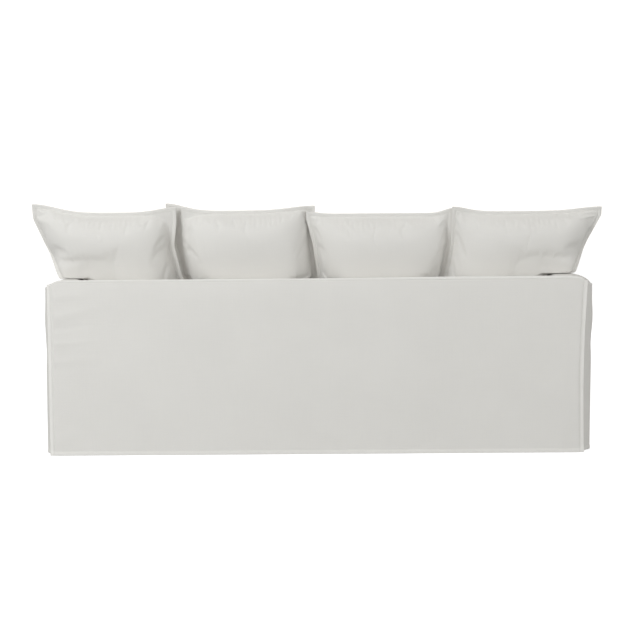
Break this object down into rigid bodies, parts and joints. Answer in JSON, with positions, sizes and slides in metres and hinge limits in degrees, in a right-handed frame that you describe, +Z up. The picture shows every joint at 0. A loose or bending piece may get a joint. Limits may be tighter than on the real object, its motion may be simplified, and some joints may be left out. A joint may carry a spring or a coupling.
{
  "type": "sofa slipcover with its back cushions",
  "caption": "Loose floor-length slipcover for a square-armed sofa, off-white canvas with topstitched flange seams, with its flanged back cushions.",
  "frame": {"origin": "the point on the floor below the middle of the sofa that the cover fits", "axes": "+X to the right as seen from behind the sofa, +Y from the back of the sofa to its front, +Z up"},
  "size_m": [2.27, 0.9623, 0.9935],
  "materials": {
    "canvas": "heavy off-white cotton and linen canvas in a plain weave, matt",
    "cushion_canvas": "the same off-white canvas, drawn over soft filled cushions"
  },
  "bodies": {
    "root": {"outside_back": "canvas", "outside_arm_left": "canvas", "outside_arm_right": "canvas", "arm_top_left": "canvas", "arm_top_right": "canvas", "arm_front_left": "canvas", "arm_front_right": "canvas", "inside_back": "canvas", "seat_deck": "canvas", "front_apron": "canvas", "back_cushion_1": "cushion_canvas", "back_cushion_2": "cushion_canvas", "back_cushion_3": "cushion_canvas", "back_cushion_4": "cushion_canvas"}
  },
  "joints": []
}
